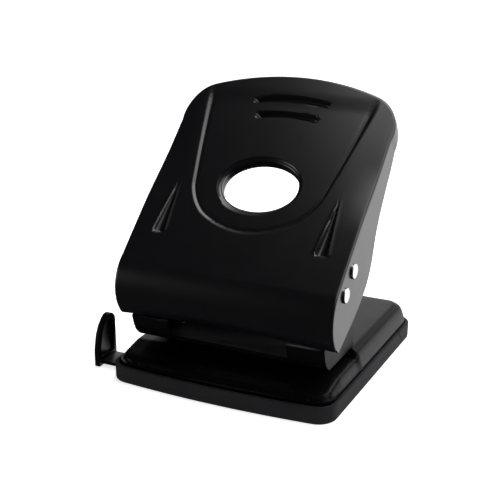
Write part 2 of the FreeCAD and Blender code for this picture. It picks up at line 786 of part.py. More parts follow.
def main():
    doc = FreeCAD.newDocument("HolePunch")
    size = make_sheet(doc)
    parts = make_all(doc, size)
    check(doc, parts)
    os.makedirs("parts", exist_ok=True)
    for part in parts:
        part.Shape.exportStep(f"parts/{part.Label}.step")
        box = part.Shape.BoundBox
        print(f"{part.Label:22s} {part.Shape.Volume:10.1f} solids {len(part.Shape.Solids)}"
              f"  x {box.XMin:7.2f} {box.XMax:7.2f}  y {box.YMin:7.2f} {box.YMax:7.2f}"
              f"  z {box.ZMin:7.2f} {box.ZMax:7.2f}")


main()
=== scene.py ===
"""Two-hole lever punch: the finished look of every piece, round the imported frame.

Metres, in the frame's own axes: X right, Y back, Z up, origin under the tray.
"""

import math

import bmesh
import bpy
import numpy as np
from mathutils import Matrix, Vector


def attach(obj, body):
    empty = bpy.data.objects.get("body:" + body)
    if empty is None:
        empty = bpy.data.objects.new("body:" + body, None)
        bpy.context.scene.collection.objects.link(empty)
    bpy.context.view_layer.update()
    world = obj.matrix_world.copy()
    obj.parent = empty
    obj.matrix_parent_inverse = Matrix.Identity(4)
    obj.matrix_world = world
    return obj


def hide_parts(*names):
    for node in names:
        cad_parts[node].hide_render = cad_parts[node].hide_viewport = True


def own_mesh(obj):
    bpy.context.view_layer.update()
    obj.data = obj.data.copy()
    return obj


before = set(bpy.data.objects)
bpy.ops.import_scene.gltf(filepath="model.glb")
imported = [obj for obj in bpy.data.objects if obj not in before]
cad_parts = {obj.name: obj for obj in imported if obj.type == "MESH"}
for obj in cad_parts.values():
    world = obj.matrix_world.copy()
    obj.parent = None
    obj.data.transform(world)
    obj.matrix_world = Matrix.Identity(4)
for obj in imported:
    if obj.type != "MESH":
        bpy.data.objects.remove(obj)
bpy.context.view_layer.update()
MM = 0.001


# ---------------------------------------------------------------- materials

def srgb(code, alpha=1.0):
    """Linear colour from an sRGB hex code."""
    channels = [int(code[i:i + 2], 16) / 255 for i in (1, 3, 5)]
    linear = [c / 12.92 if c <= 0.04045 else ((c + 0.055) / 1.055) ** 2.4 for c in channels]
    return (*linear, alpha)


def add(tree, kind, links=None, **settings):
    """Add one node, set its properties or inputs, and link its inputs."""
    node = tree.nodes.new(kind)
    for name, value in settings.items():
        if hasattr(node, name):
            setattr(node, name, value)
        else:
            node.inputs[name.replace("_", " ")].default_value = value
    for name, source in (links or {}).items():
        tree.links.new(source, node.inputs[name])
    return node


def new_material(name):
    """Empty material, its tree, and the place on the piece that patterns read."""
    material = bpy.data.materials.new(name)
    material.use_nodes = True
    tree = material.node_tree
    tree.nodes.clear()
    coords = add(tree, "ShaderNodeTexCoord")
    return material, tree, coords.outputs["Object"]


def grain(tree, place, millimetres, detail=2.0):
    """Noise whose bumps are about the given size."""
    return add(tree, "ShaderNodeTexNoise", {"Vector": place},
               Scale=1000.0 / millimetres, Detail=detail).outputs["Fac"]


def between(tree, factor, low, high):
    """Stretch a noise value to a range."""
    return add(tree, "ShaderNodeMapRange", {"Value": factor},
               From_Min=0.3, From_Max=0.7, To_Min=low, To_Max=high).outputs["Result"]


def tint(tree, factor, dark, light):
    """Colour between two sRGB codes."""
    mix = add(tree, "ShaderNodeMix", data_type="RGBA")
    tree.links.new(factor, mix.inputs[0])
    mix.inputs[6].default_value = srgb(dark)
    mix.inputs[7].default_value = srgb(light)
    return mix.outputs[2]


def finish_shader(tree, colour, roughness, height=None, bump=0.0, depth=0.0001, **settings):
    """Principled surface with an optional fine relief."""
    links = {"Base Color": colour, "Roughness": roughness}
    if height is not None:
        relief = add(tree, "ShaderNodeBump", {"Height": height}, Strength=bump, Distance=depth)
        links["Normal"] = relief.outputs["Normal"]
    shader = add(tree, "ShaderNodeBsdfPrincipled", links, **settings)
    add(tree, "ShaderNodeOutputMaterial", {"Surface": shader.outputs["BSDF"]})


def powder_coat(name, dark, light, smooth, rough, peel, specular=0.5):
    """Black coat on pressed steel: a baked skin with orange peel of the given size.

    The shade drifts over about 40 mm and the gloss over about 9 mm, as a coat's thickness does.
    """
    material, tree, place = new_material(name)
    clouds = grain(tree, place, 40.0, 0.0)
    skin = grain(tree, place, peel, 1.0)
    finish_shader(tree, tint(tree, between(tree, clouds, 0, 1), dark, light),
                  between(tree, grain(tree, place, 9.0, 1.0), smooth, rough),
                  skin, 0.10, 0.00012, IOR=1.52, Specular_IOR_Level=specular)
    return material


def moulded_plastic(name, dark, light, smooth, rough, spark, bump, specular=0.5):
    """Black ABS with the mould's grain of the given size, its gloss drifting over 22 mm."""
    material, tree, place = new_material(name)
    fine = grain(tree, place, spark, 2.0)
    patches = grain(tree, place, 22.0, 2.0)
    finish_shader(tree, tint(tree, between(tree, patches, 0, 1), dark, light),
                  between(tree, patches, smooth, rough), fine, bump, 0.00008, IOR=1.5,
                  Specular_IOR_Level=specular)
    return material


def bright_metal(name, dark, light, smooth, rough, line, stretch):
    """Bare or plated steel with faint tooling lines, closer together where stretch is high."""
    material, tree, place = new_material(name)
    drawn = add(tree, "ShaderNodeMapping", {"Vector": place}, Scale=stretch)
    lines = grain(tree, drawn.outputs["Vector"], line, 3.0)
    finish_shader(tree, tint(tree, between(tree, lines, 0, 1), dark, light),
                  between(tree, lines, smooth, rough), lines, 0.06, 0.00005, Metallic=1.0)
    return material


# ---------------------------------------------------------------- mesh helpers

def make_object(name, vertices, faces, material, smooth=True):
    """Mesh object from points in millimetres."""
    mesh = bpy.data.meshes.new(name)
    mesh.from_pydata([tuple(c * MM for c in v) for v in vertices], [], faces)
    mesh.validate()
    mesh.materials.append(material)
    for polygon in mesh.polygons:
        polygon.use_smooth = smooth
    obj = bpy.data.objects.new(name, mesh)
    bpy.context.scene.collection.objects.link(obj)
    return obj


def apply_modifiers(obj):
    """Keep the evaluated shape as the object's own mesh."""
    graph = bpy.context.evaluated_depsgraph_get()
    mesh = bpy.data.meshes.new_from_object(obj.evaluated_get(graph))
    obj.modifiers.clear()
    obj.data = mesh
    return obj


def face_outwards(obj):
    """Merge doubles and turn every face of a closed mesh outwards."""
    mesh = bmesh.new()
    mesh.from_mesh(obj.data)
    bmesh.ops.remove_doubles(mesh, verts=mesh.verts, dist=1e-6)
    bmesh.ops.recalc_face_normals(mesh, faces=mesh.faces)
    mesh.to_mesh(obj.data)
    mesh.free()


def thicken(obj, millimetres):
    """Give a skin its sheet thickness, inwards."""
    solid = obj.modifiers.new("sheet", "SOLIDIFY")
    solid.thickness = millimetres * MM
    solid.offset = -1.0
    return apply_modifiers(obj)


def carve(obj, cutter, operation="DIFFERENCE"):
    """Cut one closed mesh out of another, or join it on, and drop the cutter."""
    cut = obj.modifiers.new("cut", "BOOLEAN")
    cut.operation = operation
    cut.solver = "EXACT"
    cut.object = cutter
    apply_modifiers(obj)
    bpy.data.objects.remove(cutter)
    return obj


def fitted(obj, body, node):
    """Hang a finished piece on its body in place of the CAD node."""
    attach(obj, body)
    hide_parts(node)
    return obj


def shade_by_angle(obj, degrees):
    """Smooth shading, with folds sharper than the angle kept crisp."""
    for polygon in obj.data.polygons:
        polygon.use_smooth = True
    obj.data.set_sharp_from_angle(angle=math.radians(degrees))


def block(low, high):
    """Closed box cutter between two corners in millimetres."""
    corners = [(x, y, z) for x in (low[0], high[0]) for y in (low[1], high[1])
               for z in (low[2], high[2])]
    faces = [(0, 1, 3, 2), (4, 6, 7, 5), (0, 4, 5, 1), (2, 3, 7, 6), (0, 2, 6, 4), (1, 5, 7, 3)]
    return make_object("cutter", corners, faces, None, False)


def drum(x, y, radius, low, high, sides=64):
    """Closed upright cylinder cutter."""
    ring = [(x + radius * math.cos(a), y + radius * math.sin(a))
            for a in (2 * math.pi * i / sides for i in range(sides))]
    points = [(px, py, z) for z in (low, high) for px, py in ring]
    faces = [(i, (i + 1) % sides, sides + (i + 1) % sides, sides + i) for i in range(sides)]
    faces.append(tuple(range(sides - 1, -1, -1)))
    faces.append(tuple(range(sides, 2 * sides)))
    return make_object("cutter", points, faces, None, False)


def eased_copy(node, body, slot, ease):
    """The CAD piece with its sharp edges broken, as tumbling or coating leaves them."""
    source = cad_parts[node]
    obj = bpy.data.objects.new(f"{node}_finished", source.data.copy())
    bpy.context.scene.collection.objects.link(obj)
    mesh = bmesh.new()
    mesh.from_mesh(obj.data)
    mesh.transform(source.matrix_world)
    bmesh.ops.remove_doubles(mesh, verts=mesh.verts, dist=2e-6)
    bmesh.ops.dissolve_limit(mesh, angle_limit=math.radians(1.0), verts=mesh.verts,
                             edges=mesh.edges)
    mesh.to_mesh(obj.data)
    mesh.free()
    obj.data.materials.clear()
    obj.data.materials.append(FINISHES[slot])
    bevel = obj.modifiers.new("eased", "BEVEL")
    bevel.width = ease * MM
    bevel.segments = 3
    bevel.limit_method = "ANGLE"
    bevel.angle_limit = math.radians(40)
    bevel.harden_normals = False
    apply_modifiers(obj)
    shade_by_angle(obj, 35)
    return fitted(obj, body, node)


def flatten_heads(shaft, axis, flat=0.6, small=0.93):
    """Press the two riveted heads of a shaft a little flatter and smaller."""
    y, z = axis
    for vertex in shaft.data.vertices:
        past = abs(vertex.co.x) - HANDLE_HALF * MM
        if past > 0:
            vertex.co.x = math.copysign(HANDLE_HALF * MM + past * flat, vertex.co.x)
            vertex.co.y = y * MM + (vertex.co.y - y * MM) * small
            vertex.co.z = z * MM + (vertex.co.z - z * MM) * small


def smooth_step(low, high, value):
    """Soft rise from 0 at low to 1 at high."""
    t = np.clip((value - low) / (high - low), 0.0, 1.0)
    return t * t * (3 - 2 * t)


def distance_to_path(x, y, path):
    """Distance from each point to a polyline."""
    best = np.full(np.shape(x), 1e9)
    for (ax, ay), (bx, by) in zip(path[:-1], path[1:]):
        dx, dy = bx - ax, by - ay
        t = np.clip(((x - ax) * dx + (y - ay) * dy) / (dx * dx + dy * dy), 0, 1)
        best = np.minimum(best, np.hypot(x - ax - t * dx, y - ay - t * dy))
    return best


def arc_through(start, middle, end, count):
    """Points along the circular arc through three points, both ends included."""
    ax, ay = start
    bx, by = middle
    cx, cy = end
    d = 2 * (ax * (by - cy) + bx * (cy - ay) + cx * (ay - by))
    a2, b2, c2 = ax * ax + ay * ay, bx * bx + by * by, cx * cx + cy * cy
    ox = (a2 * (by - cy) + b2 * (cy - ay) + c2 * (ay - by)) / d
    oy = (a2 * (cx - bx) + b2 * (ax - cx) + c2 * (bx - ax)) / d
    radius = math.hypot(ax - ox, ay - oy)
    first = math.atan2(ay - oy, ax - ox)
    turn = (math.atan2(cy - oy, cx - ox) - first) % (2 * math.pi)
    if (math.atan2(by - oy, bx - ox) - first) % (2 * math.pi) > turn:
        turn -= 2 * math.pi
    return [(ox + radius * math.cos(first + turn * i / count),
             oy + radius * math.sin(first + turn * i / count)) for i in range(count + 1)]


def straight(start, end, count):
    """Evenly spaced points along a line, both ends included."""
    return [(start[0] + (end[0] - start[0]) * i / count,
             start[1] + (end[1] - start[1]) * i / count) for i in range(count + 1)]


# ---------------------------------------------------------------- handle

# Places on the handle are (x, up, out): across it, up the slope of its face from the fold at
# the nose, and away from the face.
FACE_SLOPE = math.radians(42.17)
FOLD_Y, FOLD_Z = -51.7, 61.5
HANDLE_HALF, HANDLE_SHEET, EDGE_ROUND = 58.5, 1.5, 1.4
SHAFTS = {"pivot": (-41.9, 58.8), "drive": (-31.7, 67.5)}

# hand opening: its centre up the face, half sizes, rolled lip and the collar behind it
OVAL_CENTRE, OVAL_X, OVAL_Y = 54.0, 20.6, 14.8
LIP_ROUND, LIP_DROP, COLLAR_DEPTH, COLLAR_END = 1.9, 1.5, 5.0, 0.6

# outline: rounded corners and an arched top edge
CORNER_LOW, CORNER_MIDDLE, CROWN_END, CROWN_TOP = 90.0, (56.0, 105.3), (46.5, 113.9), 122.6

# nose below the fold: an arc seen from the side, its lower edge arched at the middle
NOSE_START, NOSE_MIDDLE, NOSE_END = (0.0, 0.0), (-13.7, -7.2), (-18.7, -20.2)
NOSE_LENGTH, FOLD_BLEND = 27.0, 3.0
NOSE_ARCH, ARCH_UP, ARCH_OUT = 2.4, 0.35, 0.94

# free edge of the side flange, and where it ends at the nose; above SQUARE_FROM the flange
# stands square to the face
BACK_EDGE = [(0, -28.6), (10, -31.0), (20, -32.3), (27, -32.1), (33, -30.6), (38.5, -28.2),
             (46, -23.9), (57.5, -19.8), (70, -17.2), (83, -14.9), (95, -11.0), (101, -8.0),
             (108, -4.6), (122, -3.8)]
TIP = (-17.1, -23.9)
SQUARE_FROM = 60
EDGE_SOFTEN = (-3, -1.5, 0, 1.5, 3)

# U-shaped panel: right half of its outline, its step and the crease just inside it
PANEL_LOW, PANEL_BOWL, PANEL_TURN = (0.0, 26.0), (25.5, 34.6), (35.6, 50.5)
PANEL_TOP, PANEL_FADE = (47.0, 112.0), (102.0, 114.0)
PANEL_STEP, CREASE_DEPTH, CREASE_IN, CREASE_WIDTH = 0.6, 0.42, 0.9, 0.75

# bands beside the panel that roll down to the rim, from where and to where up the face
BAND_ROLL, BAND_START, BAND_FULL = 2.2, 34.0, 74.0

# two tapered grooves, wide at the bottom, with a raised lip
TAPER_X, TAPER_LOW, TAPER_LONG, TAPER_HALF, TAPER_DEPTH = 43.9, 20.4, 30.0, 3.0, 3.0
TAPER_LIP, TAPER_LIP_AWAY, TAPER_LIP_WIDTH = 0.4, 0.4, 0.7

# two short curved grooves near the top: start, middle and end of each, and its arc's steps
TOP_GROOVES = [((-18.3, 106.0), (0.8, 108.0), (20.0, 106.2), 12),
               ((-14.2, 96.6), (0.9, 98.0), (16.0, 96.8), 10)]
GROOVE_HALF, GROOVE_DEPTH = 2.0, 3.0

# how finely the sheet is divided: from the collar out to the flange, and round the rim
COLLAR_STEPS, LIP_STEPS, FACE_STEPS, FOLD_STEPS, FLANGE_STEPS = 4, 6, 84, 5, 12
NOSE_STEPS, RIM_ACROSS, RIM_ALONG, RIM_CORNER, RIM_CROWN = 48, 84, 90, 18, 70


def handle_to_punch(x, up, out):
    """From the handle's own frame to the punch's frame, in millimetres."""
    c, s = math.cos(FACE_SLOPE), math.sin(FACE_SLOPE)
    return (x, FOLD_Y + up * c - out * s, FOLD_Z + up * s + out * c)


NOSE_POINTS = arc_through(NOSE_START, NOSE_MIDDLE, NOSE_END, NOSE_STEPS)


def profile(b):
    """Point and inward direction of the side profile: face for b >= 0, nose below."""
    if b >= 0:
        return (b, 0.0), (0.0, -1.0)
    place = min(-b / NOSE_LENGTH, 1.0) * (len(NOSE_POINTS) - 1)
    i = min(int(place), len(NOSE_POINTS) - 2)
    (ax, ay), (bx, by) = NOSE_POINTS[i], NOSE_POINTS[i + 1]
    t = place - i
    point = (ax + (bx - ax) * t, ay + (by - ay) * t)
    long = math.hypot(bx - ax, by - ay)
    inward = (-(by - ay) / long, (bx - ax) / long)
    blend = min(-b / FOLD_BLEND, 1.0)
    mixed = (inward[0] * blend, inward[1] * blend - (1 - blend))
    size = math.hypot(*mixed)
    return point, (mixed[0] / size, mixed[1] / size)


def back_edge(b):
    """Where the flange ends, opposite a point of the profile."""
    if b < 0:
        t = -b / NOSE_LENGTH
        start = BACK_EDGE[0]
        return (start[0] + (TIP[0] - start[0]) * t, start[1] + (TIP[1] - start[1]) * t)
    ups = [p[0] for p in BACK_EDGE]
    outs = [p[1] for p in BACK_EDGE]
    near = [float(np.interp(b + shift, ups, outs)) for shift in EDGE_SOFTEN]
    return (b, sum(near) / len(near))


def panel_half():
    """Right half of the pressed panel's outline, from the bottom to the top edge."""
    bowl = arc_through(PANEL_LOW, (14.0, 28.6), PANEL_BOWL, 10)
    turn = arc_through(PANEL_BOWL, (31.6, 41.8), PANEL_TURN, 8)
    side = arc_through(PANEL_TURN, (41.2, 78.0), PANEL_TOP, 12)
    return bowl + turn[1:] + side[1:]


def face_relief(x, up):
    """Depth of the pressings in the face.

    They are the centre panel with a crease inside its edge, the bands beside it that roll
    down to the rim, two tapered side grooves with raised lips, and two grooves at the top.
    """
    half = panel_half()
    widths = np.interp(up, [p[1] for p in half], [p[0] for p in half])
    whole = [(-px, py) for px, py in reversed(half)] + half[1:]
    away = distance_to_path(x, up, whole)
    inside = (np.abs(x) < widths) & (up > PANEL_LOW[1])
    signed = np.where(inside, away, -away)
    run = 0.7 + 0.4 * smooth_step(60, 100, up)
    crease = CREASE_DEPTH * np.exp(-((signed - CREASE_IN) / CREASE_WIDTH) ** 2)
    panel = PANEL_STEP * smooth_step(-run, run, signed) + crease
    panel = panel * (1 - smooth_step(*PANEL_FADE, up))

    band = np.clip((np.abs(x) - widths) / np.maximum(HANDLE_HALF - widths, 1.0), 0.0, 1.0)
    roll = BAND_ROLL * band ** 2.2 * smooth_step(BAND_START, BAND_FULL, up)

    along = np.clip((up - TAPER_LOW) / TAPER_LONG, 0.0, 1.0)
    half_width = TAPER_HALF * (1 - along) + 0.25
    beside = np.abs(np.abs(x) - TAPER_X)
    across = beside / half_width
    taper = TAPER_DEPTH * (1 - along) ** 0.7 * np.clip(1 - across ** 2, 0, 1) ** 0.8
    lip = np.exp(-((beside - half_width - TAPER_LIP_AWAY) / TAPER_LIP_WIDTH) ** 2)
    taper = taper - TAPER_LIP * (1 - along) ** 0.4 * lip
    taper = taper * smooth_step(TAPER_LOW - 0.8, TAPER_LOW + 0.1, up)
    taper = taper * (up < TAPER_LOW + TAPER_LONG)

    grooves = np.zeros(np.shape(x))
    for groove in TOP_GROOVES:
        near = distance_to_path(x, up, arc_through(*groove)) / GROOVE_HALF
        grooves = np.maximum(grooves, GROOVE_DEPTH * np.clip(1 - near ** 2, 0, 1) ** 0.5)
    return panel + roll + taper + grooves


def handle_rim():
    """Edge of the flat of the handle, as (x, up, normal, folded) all the way round."""
    h = HANDLE_HALF - EDGE_ROUND
    low = -NOSE_LENGTH
    corner = arc_through((HANDLE_HALF, CORNER_LOW), CORNER_MIDDLE, CROWN_END, RIM_CORNER)
    crown = arc_through(CROWN_END, (0.0, CROWN_TOP), (-CROWN_END[0], CROWN_END[1]), RIM_CROWN)
    outer = corner[:-1] + crown[:-1] + [(-x, y) for x, y in reversed(corner)]
    nose = straight((-h, low), (h, low), RIM_ACROSS)
    side = straight((h, low), (h, CORNER_LOW), RIM_ALONG)
    other_side = straight((-h, CORNER_LOW), (-h, low), RIM_ALONG)
    rim = [(x, b, None, False) for x, b in nose[1:-1]]
    rim += [(x, b, (1.0, 0.0), True) for x, b in side[:-1]]
    for i, (x, y) in enumerate(outer):
        ax, ay = outer[max(i - 1, 0)]
        bx, by = outer[min(i + 1, len(outer) - 1)]
        if i == 0:
            normal = (1.0, 0.0)
        elif i == len(outer) - 1:
            normal = (-1.0, 0.0)
        else:
            long = math.hypot(bx - ax, by - ay)
            normal = ((by - ay) / long, -(bx - ax) / long)
        rim.append((x - normal[0] * EDGE_ROUND, y - normal[1] * EDGE_ROUND, normal, True))
    rim += [(x, b, (-1.0, 0.0), True) for x, b in other_side[1:]]
    return rim


def oval_rings(rim):
    """Collar wall and rounded lip of the oval hand opening, from below upwards."""
    angles = [math.atan2(p[1] - OVAL_CENTRE, p[0]) for p in rim]
    rings = []
    for k in range(COLLAR_STEPS + 1):
        down = COLLAR_DEPTH + LIP_DROP - k * (COLLAR_DEPTH - COLLAR_END) / COLLAR_STEPS
        rings.append([(OVAL_X * math.cos(a), OVAL_CENTRE + OVAL_Y * math.sin(a), -down)
                      for a in angles])
    for k in range(1, LIP_STEPS + 1):
        turn = math.pi / 2 * k / LIP_STEPS
        grow = LIP_ROUND * (1 - math.cos(turn))
        down = LIP_DROP + LIP_ROUND * (1 - math.sin(turn))
        rings.append([((OVAL_X + grow) * math.cos(a),
                       OVAL_CENTRE + (OVAL_Y + grow) * math.sin(a), -down) for a in angles])
    return rings


def face_rings(inner, rim):
    """The broad face and the nose, pressed to shape, and the relief left at the rim."""
    rings = []
    for k in range(1, FACE_STEPS + 1):
        t = k / FACE_STEPS
        x = np.array([p[0] + (r[0] - p[0]) * t for p, r in zip(inner, rim)])
        b = np.array([p[1] + (r[1] - p[1]) * t for p, r in zip(inner, rim)])
        relief = face_relief(x, b) * smooth_step(0.0, 4.0, b)
        ring = []
        for xi, bi, depth in zip(x, b, relief):
            (up, out), inward = profile(bi)
            arch = NOSE_ARCH * (1 - (xi / HANDLE_HALF) ** 2) * max(-bi / NOSE_LENGTH, 0) ** 3
            up += arch * ARCH_UP
            out += arch * ARCH_OUT
            ring.append((xi, up + inward[0] * depth, out + inward[1] * depth))
        rings.append(ring)
    return rings, relief


def edge_rings(rim, relief):
    """The rounded fold between the face and the side flange."""
    rings = []
    for k in range(1, FOLD_STEPS + 1):
        turn = math.pi / 2 * k / FOLD_STEPS
        side = EDGE_ROUND * math.sin(turn)
        ring = []
        for (x, b, normal, folded), depth in zip(rim, relief):
            if not folded:
                ring.append((x, 0.0, 0.0))
                continue
            (up, out), inward = profile(b)
            down = EDGE_ROUND * (1 - math.cos(turn)) + depth
            ring.append((x + normal[0] * side, up + normal[1] * side + inward[0] * down,
                         out + inward[1] * down))
        rings.append(ring)
    return rings


def flange_rings(rim, top):
    """The side flange, from the fold to its free edge."""
    rings = []
    for k in range(1, FLANGE_STEPS + 1):
        t = k / FLANGE_STEPS
        ring = []
        for (x, b, _, folded), start in zip(rim, top):
            if not folded:
                ring.append((x, 0.0, 0.0))
                continue
            end_up, end_out = back_edge(b)
            if b > SQUARE_FROM:
                end_up = start[1]
            ring.append((start[0], start[1] + (end_up - start[1]) * t,
                         start[2] + (end_out - start[2]) * t))
        rings.append(ring)
    return rings


def turn_face_up(handle):
    """Drop unused points and make the broad face look up and forward."""
    mesh = bmesh.new()
    mesh.from_mesh(handle.data)
    loose = [v for v in mesh.verts if not v.link_faces]
    bmesh.ops.delete(mesh, geom=loose, context="VERTS")
    mesh.normal_update()
    crown = Vector(handle_to_punch(0.0, 90.0, -1.5)) * MM
    sample = min(mesh.faces, key=lambda f: (f.calc_center_median() - crown).length)
    if sample.normal.z < 0:
        bmesh.ops.reverse_faces(mesh, faces=mesh.faces)
    mesh.to_mesh(handle.data)
    mesh.free()


def make_handle(material):
    """Pressed steel lever: one sheet from the collar of the opening out to the flanges."""
    rim = handle_rim()
    count = len(rim)
    rings = oval_rings(rim)
    broad, relief = face_rings(rings[-1], rim)
    rings += broad
    edge_start = len(rings)
    rings += edge_rings(rim, relief)
    rings += flange_rings(rim, rings[-1])

    vertices = [handle_to_punch(*p) for ring in rings for p in ring]
    faces = []
    for k in range(len(rings) - 1):
        for i in range(count):
            j = (i + 1) % count
            if k >= edge_start - 1 and not (rim[i][3] and rim[j][3]):
                continue
            faces.append((k * count + i, k * count + j, (k + 1) * count + j, (k + 1) * count + i))
    handle = make_object("handle_pressing", vertices, faces, material)
    turn_face_up(handle)
    thicken(handle, HANDLE_SHEET)
    shade_by_angle(handle, 50)
    return fitted(handle, "handle", "handle")


# ---------------------------------------------------------------- base

# half width, reach to front and back, corner radius and the bow of the front edge
BASE_HALF, BASE_FRONT, BASE_BACK, BASE_CORNER, BOW = 58.6, 62.0, 62.3, 10.0, 2.3
BASE_FOOT, DIE_LEVEL, DECK_LEVEL, STOP_Y = 7.6, 15.6, 20.2, -14.0
BASE_SHEET, DIE_HOLE = 1.5, 6.02
SHOULDER, SHOULDER_SLOPE, DECK_BEAD = 5.6, 0.40, 0.55
WALL_LEAN, WALL_ROUND, WALL_SLOPE, WALL_END = 2.0, 0.9, 3.2, 10.0

# platform from its front lip to the dies, and the step up to the deck, which runs out
# further forward near the rim
PLATFORM_Y = [-62.0, -58.0, -54.0, -48.0, -40.0, 80.0]
PLATFORM_Z = [11.3, 12.4, 13.1, 14.1, DIE_LEVEL, DIE_LEVEL]
STEP_RUN, STEP_SPREAD, STEP_REACH = 0.5, 4.5, 9.0
PUNCH_X, PUNCH_Y = 40.0, -26.0


def plan_half_width(y):
    """Half width of the base's plan, round at its corners, at a distance from the middle."""
    front = -BASE_FRONT + BOW
    reach = max(front + BASE_CORNER - y, y - (BASE_BACK - BASE_CORNER), 0.0)
    return BASE_HALF - BASE_CORNER + math.sqrt(max(BASE_CORNER ** 2 - reach ** 2, 0.0))


def base_level(y, rim):
    """Height of the pressed base, given the distance to its rim.

    A low platform rises from the front lip to the dies, a step takes it up to the deck, and
    both fall over a sloping shoulder to walls that lean in.
    """
    platform = np.interp(y, PLATFORM_Y, PLATFORM_Z)
    deck = DECK_LEVEL - DECK_BEAD * (1 - smooth_step(SHOULDER - 0.3, SHOULDER + 0.5, rim))
    run = STEP_RUN + STEP_SPREAD * (1 - smooth_step(0.0, STEP_REACH, rim))
    step = smooth_step(STOP_Y - run, STOP_Y + STEP_RUN, y)
    level = platform + (deck - platform) * step
    level = level - SHOULDER_SLOPE * np.clip(SHOULDER - rim, 0.0, None) * step
    past = WALL_LEAN - rim
    wall = WALL_SLOPE * (np.sqrt(past ** 2 + WALL_ROUND ** 2) + past) / 2
    return level - np.minimum(wall, np.clip(level - WALL_END, 0.0, None))


def spread(count, power):
    """Numbers from -1 to 1, closer together at both ends."""
    line = np.linspace(-1, 1, count)
    return np.sign(line) * (1 - (1 - np.abs(line)) ** power)


def base_grid(across, rows):
    """Plan positions of the base, row by row from the bowed front to the back."""
    grid = []
    for v in rows:
        for u in across:
            bow = BOW * (u * u) * (1 - v)
            y = -BASE_FRONT + bow + v * (BASE_BACK + BASE_FRONT - bow)
            flat_y = -BASE_FRONT + BOW + v * (BASE_BACK + BASE_FRONT - BOW)
            grid.append([u * plan_half_width(flat_y), y])
    return np.array(grid)


def make_base(material):
    """Pressed steel base: one sheet with a skirt that reaches down inside the tray."""
    across = spread(101, 1.7)
    ends = (spread(141, 1.6) + 1) / 2
    # more rows where the step between platform and deck lies
    rows = np.unique(np.concatenate([ends, np.linspace(0.375, 0.40, 14)]))
    width, height = len(across), len(rows)
    grid = base_grid(across, rows)
    loop = list(range(width))
    loop += [r * width + width - 1 for r in range(1, height)]
    loop += [(height - 1) * width + i for i in range(width - 2, -1, -1)]
    loop += [r * width for r in range(height - 2, 0, -1)]
    edge = [tuple(grid[i]) for i in loop]
    rim = distance_to_path(grid[:, 0], grid[:, 1], edge + edge[:1])
    level = base_level(grid[:, 1], rim)
    points = [(x, y, z) for (x, y), z in zip(grid, level)]
    faces = [(r * width + i, r * width + i + 1, (r + 1) * width + i + 1, (r + 1) * width + i)
             for r in range(height - 1) for i in range(width - 1)]
    start = len(points)
    points += [(x, y, BASE_FOOT) for x, y in edge]
    for k in range(len(loop)):
        after = (k + 1) % len(loop)
        faces.append((loop[k], start + k, start + after, loop[after]))
    base = make_object("base_pressing", points, faces, material)
    face_outwards(base)
    deck = Vector((0, 0.02, 0.02))
    middle = min(base.data.polygons, key=lambda p: (p.center - deck).length)
    if middle.normal.z < 0:
        base.data.flip_normals()
    thicken(base, BASE_SHEET)
    for side in (-1, 1):
        carve(base, drum(side * PUNCH_X, PUNCH_Y, DIE_HOLE, 5.0, 25.0))
    shade_by_angle(base, 40)
    return fitted(base, "base", "base_plate")


# ---------------------------------------------------------------- chip tray

TRAY_HALF, TRAY_FRONT, TRAY_BACK, TRAY_HEIGHT = 60.4, 64.8, 64.0, 9.0
TRAY_WALL, TRAY_FLOOR, TRAY_FOOT_ROUND, TRAY_RIM_ROUND = 1.8, 1.2, 1.1, 0.5
GUIDE_FRONT, GUIDE_BACK = -50.35, -36.15
RIB, RIB_TOP = 1.2, 4.7
LATCH_FRONT, LATCH_BACK, SAW_CUT, SAW_DEPTH, SAW_LEAN = 38.0, 52.0, 0.6, 0.55, 6.0


def rounded_loop(half, front, back, radius, bow, level):
    """Closed plan loop with round corners and a bowed front, at one height."""
    corner = radius * (1 - math.sqrt(0.5))
    low = -front + bow
    path = arc_through((-half, low + radius), (-half + corner, low + corner),
                       (-half + radius, low), 10)[:-1]
    path += arc_through((-half + radius, low), (0.0, -front), (half - radius, low), 40)[:-1]
    path += arc_through((half - radius, low), (half - corner, low + corner),
                        (half, low + radius), 10)[:-1]
    path += straight((half, low + radius), (half, back - radius), 60)[:-1]
    path += arc_through((half, back - radius), (half - corner, back - corner),
                        (half - radius, back), 10)[:-1]
    path += straight((half - radius, back), (-half + radius, back), 40)[:-1]
    path += arc_through((-half + radius, back), (-half + corner, back - corner),
                        (-half, back - radius), 10)[:-1]
    path += straight((-half, back - radius), (-half, low + radius), 60)[:-1]
    return [(x, y, level) for x, y in path]


def loft(name, loops, material):
    """Closed solid through loops of equal length, capped at both ends."""
    count = len(loops[0])
    points = [p for loop in loops for p in loop]
    faces = [(k * count + i, k * count + (i + 1) % count,
              (k + 1) * count + (i + 1) % count, (k + 1) * count + i)
             for k in range(len(loops) - 1) for i in range(count)]
    faces.append(tuple(range(count - 1, -1, -1)))
    last = (len(loops) - 1) * count
    faces.append(tuple(range(last, last + count)))
    return make_object(name, points, faces, material)


def tray_section():
    """Wall of the tray from the underside over the rim to the floor: inset and level."""
    foot, rim = TRAY_FOOT_ROUND, TRAY_RIM_ROUND
    section = []
    for turn in (math.pi / 8 * k for k in range(5)):
        section.append((foot * (1 - math.sin(turn)), foot * (1 - math.cos(turn))))
    section += [(0.0, 4.0), (0.0, TRAY_HEIGHT - rim)]
    for turn in (math.pi / 6 * k for k in range(1, 4)):
        section.append((rim * (1 - math.cos(turn)), TRAY_HEIGHT - rim + rim * math.sin(turn)))
    section += [(TRAY_WALL - 0.3, TRAY_HEIGHT), (TRAY_WALL, TRAY_HEIGHT - 0.3),
                (TRAY_WALL, TRAY_FLOOR + 1.0), (TRAY_WALL + 1.0, TRAY_FLOOR)]
    return section


